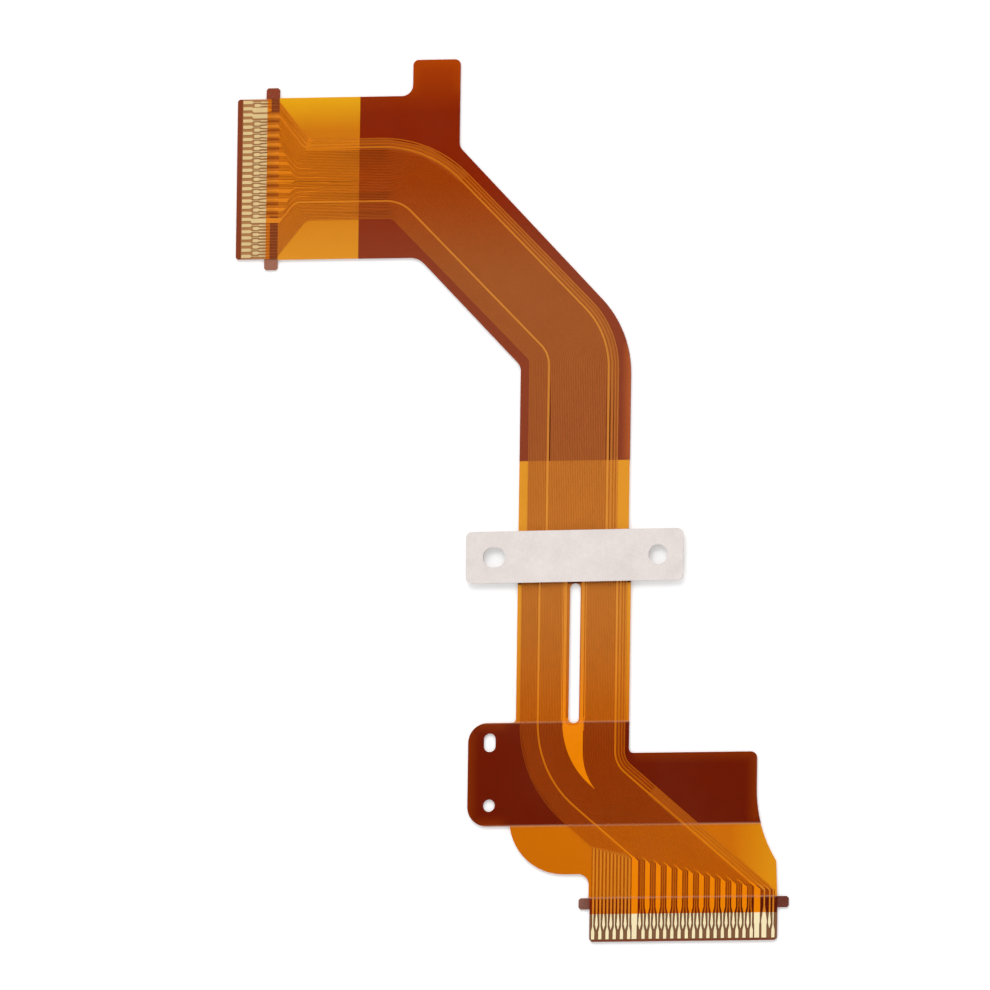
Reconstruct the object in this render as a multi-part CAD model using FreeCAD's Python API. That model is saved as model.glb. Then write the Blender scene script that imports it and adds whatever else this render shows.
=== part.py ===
import FreeCAD, Part
import math
import os

# Flat flexible printed circuit between two board connectors, in millimetres.
# It lies flat with its contacts up. Lengths named "down" are measured down the
# sheet from the axis of the arm, and lengths named "across" are measured to the
# right from the left edge of the run.

# Layers, from the underside up
backing_thickness = 0.125
base_thickness = 0.045
copper_thickness = 0.030
cover_thickness = 0.040
adhesive_thickness = 0.100
liner_thickness = 0.120

# Contacts, the same number in the same order at both ends
contact_count = 51
left_pitch = 0.25
lower_pitch = 0.30
joined_contacts = ((12, 13), (46, 47), (48, 49))
wide_joined_contacts = ((12, 13), (46, 47))
slot_contacts = (27, 28)
first_signal = 14
last_signal = 45
bar_step = 3
first_bar = 16

# Arm and left contact end
arm_length = 24.0
film_step = 0.075
tip_radius = 0.15
left_stiffener_length = 3.5
left_ear_length = 1.12
left_ear_reach = 0.82
left_bare_length = 2.5
ear_radius = 0.15

# Upper tab
upper_tab_across = 9.34
upper_tab_width = 3.94
upper_tab_rise = 2.92
upper_tab_radius = 0.45
upper_tab_fillet = 0.9

# Diagonal between the arm and the run
outer_diagonal_down = -2.39
outer_diagonal_end_down = 12.72
outer_bend_radius = 8.8
inner_diagonal_across = 8.70
inner_diagonal_end_down = 15.50
inner_bend_radius = 1.7
inner_run_fillet = 1.0

# Run, which is slightly wider below the tape
upper_run_width = 9.19
lower_run_width = 9.43
run_length = 62.19
split_length = 3.6

# Slot between the two groups of conductors
slot_across = 4.37
slot_width = 0.89
slot_down = 33.18
slot_length = 11.3

# Lower left tab with its two locating holes
lower_tab_down = 44.40
lower_tab_height = 8.36
lower_tab_reach = 3.96
lower_tab_radius = 1.6
lower_tab_fillet = 0.3
hole_diameter = 1.0
hole_across = 2.17
round_hole_rise = 1.68  # round hole's middle above the tab's lower edge
hole_spacing = 5.09  # middle of the round hole to middle of the long hole
long_hole_length = 1.5

# Right shoulder and its curved edge
shoulder_down = 46.95
shoulder_across = 20.12
shoulder_radius = 0.5
shoulder_fillet = 0.4
shoulder_curve_down = 49.9
shoulder_curve_radius = 11.0
shoulder_curve_height = 5.9

# Rounded lobe between the lower left tab and the lower contact end
lobe_down = 56.71
lobe_radius = 4.6
lobe_flat_across = 4.15
lobe_arc_angle = 230
lobe_fillet = 0.9

# Lower contact end
lower_end_across = 14.16
lower_step = 0.10
lower_tip_radius = 0.2
lower_stiffener_length = 3.53
lower_ear_length = 0.9
lower_ear_reach = 0.94
lower_bare_length = 2.22

# Backing films under the run
upper_backing_across = 13.74
upper_backing_down = 23.23

# Double sided tape with its paper liner
tape_length = 18.1
tape_width = 4.18
tape_radius = 0.45
tape_across = 4.76
tape_down = 30.97
tape_tilt = 0.35
tape_hole_diameter = 1.6
tape_hole_across = 11.74
tape_slot_length = 1.85
tape_slot_across = 1.95

# Conductor widths and gaps in the run
thin_width = 0.075
signal_width = 0.085
power_width = 0.18
edge_width = 0.11
fine_gap = 0.06
power_gap = 0.12

# How tightly the conductors are packed in each stretch, against the run
arm_packing = 0.88
diagonal_packing = 0.935
slot_left_packing = 0.92
slot_right_packing = 0.95
fan_packing = 0.951

# Conductor routing
track_margin = 0.765
arm_track_offset = 3.356
diagonal_track_offset = 14.26
first_bend_inner_radius = 1.0
first_bend_outer_radius = 10.3
second_bend_inner_radius = 0.8
second_bend_outer_radius = 7.75
left_fan_angle = 51.0
left_fan_radius = 0.9
left_fan_delay = 1.35
left_fan_delay_step = 0.09
latest_fan_contact = 25
fan_angle = 40.3
fan_turn_height = 7.55
left_group_radius = 10.3
right_group_radius = 1.5
slot_left_margin = 0.565
slot_right_margin = 0.48

# Contact fingers, as distances from the end edge and half widths
left_front_finger = ((0.46, 0.15), (1.20, 0.15), (1.34, 0.04), (1.90, 0.04), (2.02, 0.08))
left_rear_finger = ((1.40, 0.14), (1.80, 0.155), (1.95, 0.08))
left_joined_finger = ((0.46, 0.15), (1.20, 0.15))
left_joined_start = 1.30
left_joined_half = 0.195
lower_front_finger = ((0.17, 0.15), (0.80, 0.15), (1.22, 0.055), (2.20, 0.065))
lower_rear_finger = ((0.95, 0.03), (1.38, 0.14), (2.20, 0.065))
lower_joined_finger = ((0.17, 0.22), (1.20, 0.22), (1.50, 0.26))

# Wide bars and narrow lines between the fingers and the fans
left_bar_half = 0.155
left_bar_start = 2.85
left_bar_taper = 0.35
left_line_half = 0.04
lower_bar_half = 0.20
lower_bar_start = 2.75
lower_power_half = 0.26
lower_thin_half = 0.08
lower_line_half = 0.05
lower_line_spacing = 0.17
lower_edge_half = 0.06

# Copper guard round the slot
guard_width = 0.26
guard_left_margin = 0.22
guard_right_margin = 0.095
guard_cover = 0.3

# Clearance of the cover film's pocket round the copper
pocket_clearance = 0.05

# Share of an edge that a corner may take, beside another rounded corner or alone
shared_edge = 0.48
whole_edge = 0.95
shortest_edge = 1e-6

# Corners of this radius or less are cut straight
straight_corner = 0.2

# Conductors are many and very fine, so their bends are a few chords of the true arc,
# which leave it by less than this
fine_bend_sag = 0.11
wide_bend_sag = 0.04

# Cutters and zones reach past the sheet by this margin on each side
cutter_margin = 1.0

# Heights of the layers
base_bottom = backing_thickness
copper_bottom = base_bottom + base_thickness
copper_top = copper_bottom + copper_thickness
cover_top = copper_top + cover_thickness
adhesive_top = cover_top + adhesive_thickness

# Places worked out from the sizes
left_end_width = left_pitch * (contact_count + 1)
lower_end_width = lower_pitch * (contact_count + 1)
arm_half = left_end_width / 2 + film_step
left_tip = -arm_length
left_stiffener_edge = left_tip + left_stiffener_length
lower_end_left = lower_end_across - lower_end_width / 2
lower_end_right = lower_end_left + lower_end_width
lower_end_edge = -run_length
lower_stiffener_edge = lower_end_edge + lower_stiffener_length
slot_left = slot_across
slot_right = slot_across + slot_width
slot_top = -slot_down
slot_bottom = slot_top - slot_length
split_bottom = slot_top + guard_cover
split_top = split_bottom + split_length
lower_tab_bottom = -lower_tab_down - lower_tab_height
tab_top = arm_half + upper_tab_rise
ear_right = lower_end_right + lower_ear_reach
middle_contact = (contact_count + 1) / 2
fan_slant = math.radians(fan_angle)
cutter_height = adhesive_top + liner_thickness + 2 * cutter_margin

# The origin is the middle of the whole outline, on the surface it lies on
origin_across = (left_tip + ear_right) / 2
origin_up = (tab_top + lower_end_edge) / 2


def unit(a, b):
    """Direction from point a to point b, with their distance."""
    dx, dy = b[0] - a[0], b[1] - a[1]
    length = math.hypot(dx, dy)
    return dx / length, dy / length, length


def corner(before, here, after):
    """Start, end and centre of the arc that rounds one corner of an outline."""
    radius = here[2] if len(here) > 2 else 0
    if radius <= 0:
        return here[:2], here[:2], None
    ux, uy, back = unit(here, before)
    vx, vy, ahead = unit(here, after)
    half = math.acos(max(-1, min(1, ux * vx + uy * vy))) / 2
    share_back = shared_edge if len(before) > 2 and before[2] > 0 else whole_edge
    share_ahead = shared_edge if len(after) > 2 and after[2] > 0 else whole_edge
    tangent = min(radius / math.tan(half), share_back * back, share_ahead * ahead)
    reach = tangent / math.cos(half) / math.hypot(ux + vx, uy + vy)
    centre = (here[0] + (ux + vx) * reach, here[1] + (uy + vy) * reach)
    start = (here[0] + ux * tangent, here[1] + uy * tangent)
    end = (here[0] + vx * tangent, here[1] + vy * tangent)
    return start, end, centre


def arc_turn(start, end, centre):
    """Radius of an arc, the angle it starts at and the angle it turns through."""
    first = math.atan2(start[1] - centre[1], start[0] - centre[0])
    last = math.atan2(end[1] - centre[1], end[0] - centre[0])
    return math.dist(start, centre), first, (last - first + math.pi) % (2 * math.pi) - math.pi


def arc_point(start, end, centre, share):
    """Point at a share of the way along an arc."""
    radius, first, turn = arc_turn(start, end, centre)
    angle = first + share * turn
    return centre[0] + radius * math.cos(angle), centre[1] + radius * math.sin(angle)


def chord_points(before, here, after, sag):
    """Ends of the chords that stand for one bend of a conductor."""
    start, end, centre = corner(before, here, after)
    if centre is None:
        return [start]
    radius, _, turn = arc_turn(start, end, centre)
    chord = 2 * math.acos(1 - min(1, sag / radius))
    count = math.ceil(abs(turn) / chord)
    return [arc_point(start, end, centre, step / count) for step in range(count + 1)]


def vector(point):
    return FreeCAD.Vector(point[0] - origin_across, point[1] - origin_up, 0)


def line_edge(start, end):
    return Part.LineSegment(vector(start), vector(end)).toShape()


def arc_edge(start, middle, end):
    return Part.Arc(vector(start), vector(middle), vector(end)).toShape()


def outline(points):
    """Closed wire through points (x, y, corner radius, middle of an arc to the next point)."""
    count = len(points)
    corners = [corner(points[i - 1], points[i], points[(i + 1) % count]) for i in range(count)]
    edges = []
    for i, point in enumerate(points):
        start, end, centre = corners[i]
        if centre and point[2] > straight_corner:
            edges.append(arc_edge(start, arc_point(start, end, centre, 1 / 2), end))
        elif centre:
            edges.append(line_edge(start, end))
        following = corners[(i + 1) % count][0]
        if len(point) > 3:
            edges.append(arc_edge(end, point[3], following))
        elif math.dist(end, following) > shortest_edge:
            edges.append(line_edge(end, following))
    return Part.Wire(edges)


def plate(points, bottom, thickness):
    """Flat solid with the given outline."""
    solid = Part.Face(outline(points)).extrude(FreeCAD.Vector(0, 0, thickness))
    solid.translate(FreeCAD.Vector(0, 0, bottom))
    return solid


def block(left, right, low, high):
    """Tall block that picks one stretch of the film."""
    points = [(left, low), (right, low), (right, high), (left, high)]
    return plate(points, -cutter_margin, cutter_height)


def disc(across, up, diameter, length=0):
    """Tall cutter for a round hole, or a long hole with round ends along the sheet."""
    half = diameter / 2
    if length <= diameter:
        foot = vector((across, up)) - FreeCAD.Vector(0, 0, cutter_margin)
        return Part.makeCylinder(half, cutter_height, foot)
    reach = length / 2
    points = [
        (across - half, up - reach, half),
        (across + half, up - reach, half),
        (across + half, up + reach, half),
        (across - half, up + reach, half),
    ]
    return plate(points, -cutter_margin, cutter_height)


def left_edge_points():
    """Left contact end and the arm's upper edge, up to the upper tab."""
    end_half = left_end_width / 2
    tab_left = -upper_tab_across
    return [
        (left_tip, -end_half, tip_radius),
        (left_tip, end_half, tip_radius),
        (left_stiffener_edge, end_half),
        (left_stiffener_edge, arm_half),
        (tab_left, arm_half, upper_tab_fillet),
        (tab_left, tab_top, upper_tab_radius),
        (tab_left + upper_tab_width, tab_top, upper_tab_radius),
        (tab_left + upper_tab_width, -outer_diagonal_down, upper_tab_fillet),
    ]


def shoulder_points():
    """Right edge of the run and the shoulder above the lower contact end."""
    top = -shoulder_curve_down
    bottom = top - shoulder_curve_height
    bulge = shoulder_curve_radius - math.sqrt(shoulder_curve_radius ** 2 - shoulder_curve_height ** 2)
    half_drop = shoulder_curve_height / 2
    half_bulge = shoulder_curve_radius - math.sqrt(shoulder_curve_radius ** 2 - half_drop ** 2)
    return [
        (upper_run_width, -outer_diagonal_end_down, outer_bend_radius),
        (upper_run_width, split_top),
        (lower_run_width, split_bottom),
        (lower_run_width, -shoulder_down, shoulder_fillet),
        (shoulder_across, -shoulder_down, shoulder_radius),
        (shoulder_across, top, 0, (shoulder_across + half_bulge, top - half_drop)),
        (shoulder_across + bulge, bottom),
        (lower_end_right, lower_stiffener_edge),
        (lower_end_right, lower_end_edge, lower_tip_radius),
    ]


def lobe_points():
    """Lower contact end's left side, the lobe and the lower left tab."""
    lobe_bottom = -lobe_down
    centre_up = lobe_bottom + lobe_radius
    drop = centre_up - lower_tab_bottom
    meet = lobe_flat_across - math.sqrt(lobe_radius ** 2 - drop ** 2)
    middle_angle = math.radians(lobe_arc_angle)
    middle = (
        lobe_flat_across + lobe_radius * math.cos(middle_angle),
        centre_up + lobe_radius * math.sin(middle_angle),
    )
    return [
        (lower_end_left, lower_end_edge, lower_tip_radius),
        (lower_end_left, lower_stiffener_edge),
        (lower_end_left - lower_step, lower_stiffener_edge),
        (lower_end_left - lower_step, lobe_bottom, lobe_fillet),
        (lobe_flat_across, lobe_bottom, 0, middle),
        (meet, lower_tab_bottom),
        (-lower_tab_reach, lower_tab_bottom, lower_tab_radius),
        (-lower_tab_reach, -lower_tab_down, lower_tab_radius),
        (0, -lower_tab_down, lower_tab_fillet),
    ]


def inner_edge_points():
    """Left edge of the run, the inner diagonal and the arm's lower edge."""
    return [
        (0, -inner_diagonal_end_down, inner_run_fillet),
        (-inner_diagonal_across, -arm_half, inner_bend_radius),
        (left_stiffener_edge, -arm_half),
        (left_stiffener_edge, -left_end_width / 2),
    ]


def film(bottom, thickness):
    """One layer of film over the whole outline, with the slot and the locating holes."""
    points = left_edge_points() + shoulder_points() + lobe_points() + inner_edge_points()
    sheet = plate(points, bottom, thickness)
    slot_middle = (slot_top + slot_bottom) / 2
    sheet = sheet.cut(disc((slot_left + slot_right) / 2, slot_middle, slot_width, slot_length))
    round_hole_up = lower_tab_bottom + round_hole_rise
    sheet = sheet.cut(disc(-hole_across, round_hole_up, hole_diameter))
    long_hole_up = round_hole_up + hole_spacing
    return sheet.cut(disc(-hole_across, long_hole_up, hole_diameter, long_hole_length))


def track_width(contacts):
    """Width of a conductor in the run."""
    if len(contacts) > 1:
        return power_width
    if contacts[0] < first_signal:
        return thin_width
    if contacts[0] > last_signal:
        return edge_width
    return signal_width


def conductors():
    """The contacts of each conductor with its place across the run, from the first."""
    joined = {pair[0]: pair for pair in joined_contacts}
    skipped = {pair[1] for pair in joined_contacts}
    rows, place, last = [], 0, None
    for number in range(1, contact_count + 1):
        if number in skipped:
            continue
        contacts = joined.get(number, (number,))
        width = track_width(contacts)
        if last is not None:
            fine = max(width, last) <= signal_width
            place += (width + last) / 2 + (fine_gap if fine else power_gap)
        rows.append((contacts, place))
        last = width
    return rows


def is_bar(contacts):
    number = contacts[0]
    return first_signal <= number <= last_signal and (number - first_bar) % bar_step == 0


def diagonal_point(line, across):
    """Point of a 45 degree line at a place across."""
    return across, -line - across


def fan_line_height(line, across):
    """Height of a lower fan line, given by its distance along the fan's normal."""
    return (line - across * math.sin(fan_slant)) / math.cos(fan_slant)


def left_fan_start(contacts):
    """Where a conductor leaves its contact's line: later near the middle of the end."""
    away = abs(sum(contacts) / len(contacts) - latest_fan_contact)
    return left_stiffener_edge + max(0, left_fan_delay - away * left_fan_delay_step)


def left_centre(contacts):
    """Height of a contact, or of the middle of a joined pair, at the left end."""
    return left_pitch * (sum(contacts) / len(contacts) - middle_contact)


def left_finger(contacts, side):
    """One side of a contact finger, and the half width of the conductor behind it."""
    centre = left_centre(contacts)
    profile = left_front_finger if contacts[0] % 2 else left_rear_finger
    half = left_bar_half if is_bar(contacts) else left_line_half
    points = [(left_tip + far, centre + side * wide) for far, wide in profile]
    points.append((left_tip + left_bar_start, centre + side * half))
    return points, half


def left_pair_finger(contacts, side):
    """The same for a joined pair: its front finger, then one block over both contacts."""
    centre = left_centre(contacts)
    own = left_centre([number for number in contacts if number % 2])
    points = [(left_tip + far, own + side * wide) for far, wide in left_joined_finger]
    points.append((left_tip + left_joined_start, centre + side * left_joined_half))
    if contacts in wide_joined_contacts:
        return points, left_joined_half
    points.append((left_tip + left_bare_length, centre + side * left_joined_half))
    points.append((left_tip + left_bar_start, centre + side * left_line_half))
    return points, left_line_half


def left_contact_side(contacts, side, track_height, half_track):
    """One side of a conductor from the left end to the start of its arm track."""
    finger = left_pair_finger if len(contacts) > 1 else left_finger
    points, half = finger(contacts, side)
    centre = left_centre(contacts)
    start = left_fan_start(contacts)
    slope = math.tan(math.radians(left_fan_angle))
    drop = centre - track_height
    step = half - half_track
    if abs(drop) > step:
        lead = side * math.copysign(step, drop) / slope
        points.append((start - lead, centre + side * half))
    else:
        points.append((start - left_bar_taper, centre + side * half))
        points.append((start, centre + side * half_track))
    points.append((start + abs(drop) / slope, track_height + side * half_track, left_fan_radius))
    return points


def lower_track_half(contacts):
    """Half width of a conductor between the lower fan and its contact."""
    if len(contacts) > 1:
        return lower_power_half if contacts in wide_joined_contacts else lower_edge_half
    if is_bar(contacts):
        return lower_bar_half
    if contacts[0] < first_signal:
        return lower_thin_half
    if contacts[0] > last_signal:
        return lower_edge_half
    return lower_line_half


def lower_line_across(contacts):
    """Place of a conductor above its lower contact: a pair of lines between two bars closes up."""
    number = sum(contacts) / len(contacts)
    centre = lower_end_left + lower_pitch * number
    signal = first_signal <= number <= last_signal
    if not signal or is_bar(contacts):
        return centre
    toward = 1 if (contacts[0] - first_signal) % bar_step == 0 else -1
    return centre + toward * (lower_pitch - lower_line_spacing) / 2


def lower_contact_side(contacts, side, line, half_track):
    """One side of a conductor from the lower fan to the lower end."""
    centre = lower_end_left + lower_pitch * sum(contacts) / len(contacts)
    across = lower_line_across(contacts)
    half = lower_track_half(contacts)
    turn = across + side * half
    points = [(turn, fan_line_height(line + side * half_track, turn))]
    points.append((turn, lower_end_edge + lower_bar_start))
    if len(contacts) > 1:
        profile = lower_joined_finger
    elif contacts[0] % 2:
        profile = lower_front_finger
    else:
        profile = lower_rear_finger
    points += [(centre + side * wide, lower_end_edge + far) for far, wide in reversed(profile)]
    return points


def conductor_side(contacts, place, side, extra=0):
    """One side of a conductor, from the left contact to the lower contact."""
    half = track_width(contacts) / 2
    last_place = conductors()[-1][1]
    share = place / last_place
    arm_height = -arm_track_offset + place * arm_packing
    diagonal = diagonal_track_offset - place * diagonal_packing * math.sqrt(2)
    run_across = track_margin + place
    first_radius = first_bend_inner_radius + share * (first_bend_outer_radius - first_bend_inner_radius)
    second_radius = second_bend_inner_radius + share * (second_bend_outer_radius - second_bend_inner_radius)
    points = left_contact_side(contacts, side, arm_height, half * arm_packing)
    arm_side = arm_height + side * (half * arm_packing + extra)
    diagonal_side = diagonal - side * (half * diagonal_packing + extra) * math.sqrt(2)
    run_side = run_across + side * (half + extra)
    points.append((-diagonal_side - arm_side, arm_side, first_radius + side * half))
    points.append((*diagonal_point(diagonal_side, run_side), second_radius + side * half))
    points.append((run_side, split_top))
    lower_across, packing, radius = lower_place(place)
    line = fan_line(place)
    lower_side = lower_across + side * (half * packing + extra)
    line_side = line + side * (half * fan_packing + extra)
    points.append((lower_side, split_bottom))
    points.append((lower_side, fan_line_height(line_side, lower_side), radius - side * half))
    points += lower_contact_side(contacts, side, line, half * fan_packing)
    return points


def middle_places():
    """Places of the two conductors on either side of the slot."""
    return [place for contacts, place in conductors() if contacts[0] in slot_contacts]


def lower_place(place):
    """Place across beside the slot, packing there and bend radius below it."""
    left_last, right_first = middle_places()
    last_place = conductors()[-1][1]
    if place <= left_last:
        inside = left_last - place
        across = slot_left - slot_left_margin - inside * slot_left_packing
        radius = left_group_radius - place * slot_left_packing
        return across, slot_left_packing, radius
    inside = place - right_first
    across = slot_right + slot_right_margin + inside * slot_right_packing
    radius = right_group_radius + (last_place - place) * slot_right_packing
    return across, slot_right_packing, radius


def fan_line(place):
    """Distance of a conductor's lower fan line along the fan's normal."""
    first_across = lower_end_left + lower_pitch
    first_height = lower_end_edge + fan_turn_height
    first_line = first_across * math.sin(fan_slant) + first_height * math.cos(fan_slant)
    return first_line + place * fan_packing


def copper_strip(first, last, clearance=0):
    """Flat strip in the copper layer, from one conductor's lower side to another's upper side."""
    sides = []
    for row, side in ((last, 1), (first, -1)):
        points = conductor_side(*row, side, clearance)
        sag = wide_bend_sag if track_width(row[0]) > signal_width else fine_bend_sag
        rounded = list(points[:1])
        for before, here, after in zip(points, points[1:], points[2:]):
            rounded += chord_points(before, here, after, sag)
        sides.append(rounded + points[-1:])
    return plate(sides[0] + sides[1][::-1], copper_bottom, copper_thickness)


def slot_guard():
    """Copper strips on both sides of the slot, which meet below it in a curved tip."""
    left_last, right_first = middle_places()
    gap = signal_width / 2 + fine_gap
    left_outer = slot_left - guard_left_margin - guard_width
    right_outer = slot_right + guard_right_margin + guard_width
    line = fan_line(left_last) + gap
    left_radius = lower_place(left_last)[2] - gap
    right_across, _, right_radius = lower_place(right_first)
    half_turn = (math.pi / 2 - fan_slant) / 2
    bend_height = fan_line_height(fan_line(right_first), right_across) + right_radius * math.tan(half_turn)
    centre = (right_across + right_radius, bend_height)
    reach = centre[0] - right_outer
    tip = guard_tip(line, centre, reach)
    middle = guard_arc_middle(centre, reach, tip)
    floor = slot_bottom - guard_left_margin
    top = (left_outer, split_bottom)
    turn = (left_outer, fan_line_height(line, left_outer), left_radius)
    points = [
        top,
        *chord_points(top, turn, tip, fine_bend_sag),
        (*tip, 0, middle),
        (right_outer, bend_height),
        (right_outer, split_bottom),
        (right_outer - guard_width, split_bottom),
        (right_outer - guard_width, floor, slot_width / 2),
        (left_outer + guard_width, floor, slot_width / 2),
        (left_outer + guard_width, split_bottom),
    ]
    return plate(points, copper_bottom, copper_thickness)


def guard_tip(line, centre, reach):
    """Point where the left group's edge meets the circle of the right group's edge."""
    normal = (math.sin(fan_slant), math.cos(fan_slant))
    along = (math.cos(fan_slant), -math.sin(fan_slant))
    offset = line - centre[0] * normal[0] - centre[1] * normal[1]
    chord = math.sqrt(max(0, reach ** 2 - offset ** 2))
    return (
        centre[0] + normal[0] * offset - along[0] * chord,
        centre[1] + normal[1] * offset - along[1] * chord,
    )


def guard_arc_middle(centre, reach, tip):
    """Middle of the arc from the tip back up to the straight strip."""
    tip_angle = math.atan2(tip[1] - centre[1], tip[0] - centre[0]) % (2 * math.pi)
    middle = (tip_angle + math.pi) / 2
    return centre[0] + reach * math.cos(middle), centre[1] + reach * math.sin(middle)


def cover_film():
    """Cover film, with a shallow pocket over the copper and bare contact ends."""
    sheet = film(copper_bottom, copper_thickness + cover_thickness)
    bare_left = left_tip + left_bare_length
    bare_lower = lower_end_edge + lower_bare_length
    sheet = sheet.common(block(bare_left, ear_right, bare_lower, tab_top + cutter_margin))
    rows = conductors()
    return sheet.cut(copper_strip(rows[0], rows[-1], pocket_clearance))


def upper_backing():
    """Backing film under the diagonal and the upper run."""
    right = upper_run_width + cutter_margin
    zone = block(-upper_backing_across, right, -upper_backing_down, tab_top + cutter_margin)
    return film(0, backing_thickness).common(zone)


def lower_backing():
    """Backing film under the lower left tab, the run and the shoulder."""
    left = -lower_tab_reach - cutter_margin
    zone = block(left, ear_right, lower_tab_bottom, -lower_tab_down)
    return film(0, backing_thickness).common(zone)


def left_stiffener():
    """Stiffener under the left contacts, with a locating ear on each side."""
    end_half = left_end_width / 2
    ear_half = arm_half + left_ear_reach
    ear_start = left_stiffener_edge - left_ear_length
    points = [
        (left_tip, -end_half, tip_radius),
        (left_tip, end_half, tip_radius),
        (ear_start, end_half),
        (ear_start, ear_half, ear_radius),
        (left_stiffener_edge, ear_half, ear_radius),
        (left_stiffener_edge, -ear_half, ear_radius),
        (ear_start, -ear_half, ear_radius),
        (ear_start, -end_half),
    ]
    return plate(points, 0, backing_thickness)


def lower_stiffener():
    """Stiffener under the lower contacts, with a locating ear on each side."""
    ear_left = lower_end_left - lower_ear_reach
    ear_start = lower_stiffener_edge - lower_ear_length
    points = [
        (lower_end_left, lower_end_edge, lower_tip_radius),
        (lower_end_right, lower_end_edge, lower_tip_radius),
        (lower_end_right, ear_start),
        (ear_right, ear_start, ear_radius),
        (ear_right, lower_stiffener_edge, ear_radius),
        (ear_left, lower_stiffener_edge, ear_radius),
        (ear_left, ear_start, ear_radius),
        (lower_end_left, ear_start),
    ]
    return plate(points, 0, backing_thickness)


def tape_strip(bottom, thickness):
    """Strip across the run, with a round and a long locating hole in its ends."""
    half_length, half_width = tape_length / 2, tape_width / 2
    middle, height = tape_across, -tape_down
    points = [
        (middle - half_length, height - half_width, tape_radius),
        (middle + half_length, height - half_width, tape_radius),
        (middle + half_length, height + half_width, tape_radius),
        (middle - half_length, height + half_width, tape_radius),
    ]
    strip = plate(points, bottom, thickness)
    strip = strip.cut(disc(tape_hole_across, height, tape_hole_diameter))
    long_hole = disc(-tape_slot_across, height, tape_hole_diameter, tape_slot_length)
    pivot = vector((-tape_slot_across, height))
    long_hole.rotate(pivot, FreeCAD.Vector(0, 0, 1), 90)
    strip = strip.cut(long_hole)
    strip.rotate(vector((middle, height)), FreeCAD.Vector(0, 0, 1), tape_tilt)
    return strip


def save(name, shape):
    """Write one node, which is always a single solid."""
    solid = shape.Solids[0]
    if len(shape.Solids) != 1 or not solid.isValid():
        raise ValueError(name + " is not one valid solid")
    solid.exportStep("parts/" + name + ".step")


def main():
    os.makedirs("parts", exist_ok=True)
    save("base_film", film(base_bottom, base_thickness))
    save("cover_film", cover_film())
    save("upper_backing_film", upper_backing())
    save("lower_backing_film", lower_backing())
    save("left_end_stiffener", left_stiffener())
    save("lower_end_stiffener", lower_stiffener())
    save("slot_guard", slot_guard())
    save("mounting_tape", tape_strip(cover_top, adhesive_thickness))
    save("release_liner", tape_strip(adhesive_top, liner_thickness))
    for row in conductors():
        numbers = "_".join("%02d" % number for number in row[0])
        save("conductor_" + numbers, copper_strip(row, row))


main()
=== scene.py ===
"""Dress a flat flex cable: films, copper lines, plated contacts and a taped strip."""

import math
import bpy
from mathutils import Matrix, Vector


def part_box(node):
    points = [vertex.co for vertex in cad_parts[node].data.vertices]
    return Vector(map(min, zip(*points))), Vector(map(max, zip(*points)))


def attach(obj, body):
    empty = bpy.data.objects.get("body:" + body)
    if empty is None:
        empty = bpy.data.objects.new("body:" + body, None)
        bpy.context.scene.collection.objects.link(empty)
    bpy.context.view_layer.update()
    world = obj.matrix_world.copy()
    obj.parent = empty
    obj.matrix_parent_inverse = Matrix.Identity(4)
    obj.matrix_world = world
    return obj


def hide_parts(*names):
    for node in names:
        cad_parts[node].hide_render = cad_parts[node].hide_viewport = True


bl_info = {
    "name": "Flat Flex Cable",
    "version": (1, 0, 0),
    "blender": (4, 5, 0),
    "location": "3D View > Sidebar > Flex Cable",
    "description": "Finishes the films, copper and tape of a flat flex cable and sets its studio",
    "category": "Object",
}

import bmesh
import bpy
from bpy.props import FloatProperty, FloatVectorProperty, PointerProperty
from mathutils import Matrix, Vector
from mathutils.geometry import tessellate_polygon

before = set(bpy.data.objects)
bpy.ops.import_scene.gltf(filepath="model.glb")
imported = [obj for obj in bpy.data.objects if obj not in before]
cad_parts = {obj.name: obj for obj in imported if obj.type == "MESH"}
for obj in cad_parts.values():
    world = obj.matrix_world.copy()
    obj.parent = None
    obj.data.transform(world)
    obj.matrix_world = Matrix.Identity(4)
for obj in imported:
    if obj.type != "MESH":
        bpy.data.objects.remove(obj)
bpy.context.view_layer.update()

millimetre = 0.001


def paint(red, green, blue):
    """A colour named by its screen values from 0 to 255, as light values from 0 to 1."""
    screen = [value / 255 for value in (red, green, blue)]
    return tuple(v / 12.92 if v <= 0.04045 else ((v + 0.055) / 1.055) ** 2.4 for v in screen)


def in_millimetres(node):
    """A node's lowest and highest corners in millimetres."""
    low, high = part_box(node)
    return low / millimetre, high / millimetre


# Places along the cable, in millimetres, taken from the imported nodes.
film_low, film_high = in_millimetres("base_film")
cover_low = in_millimetres("cover_film")[0]
left_plate_low, left_plate_high = in_millimetres("left_end_stiffener")
lower_plate_low, lower_plate_high = in_millimetres("lower_end_stiffener")
upper_backing_low, upper_backing_high = in_millimetres("upper_backing_film")
lower_backing_low, lower_backing_high = in_millimetres("lower_backing_film")

left_cover_edge, lower_cover_edge = cover_low.x, cover_low.y
left_plate_start = left_cover_edge + 0.33  # where the left plate darkens the covered film
margin = 1.0  # how far a patch reaches past the cable's outline

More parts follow.
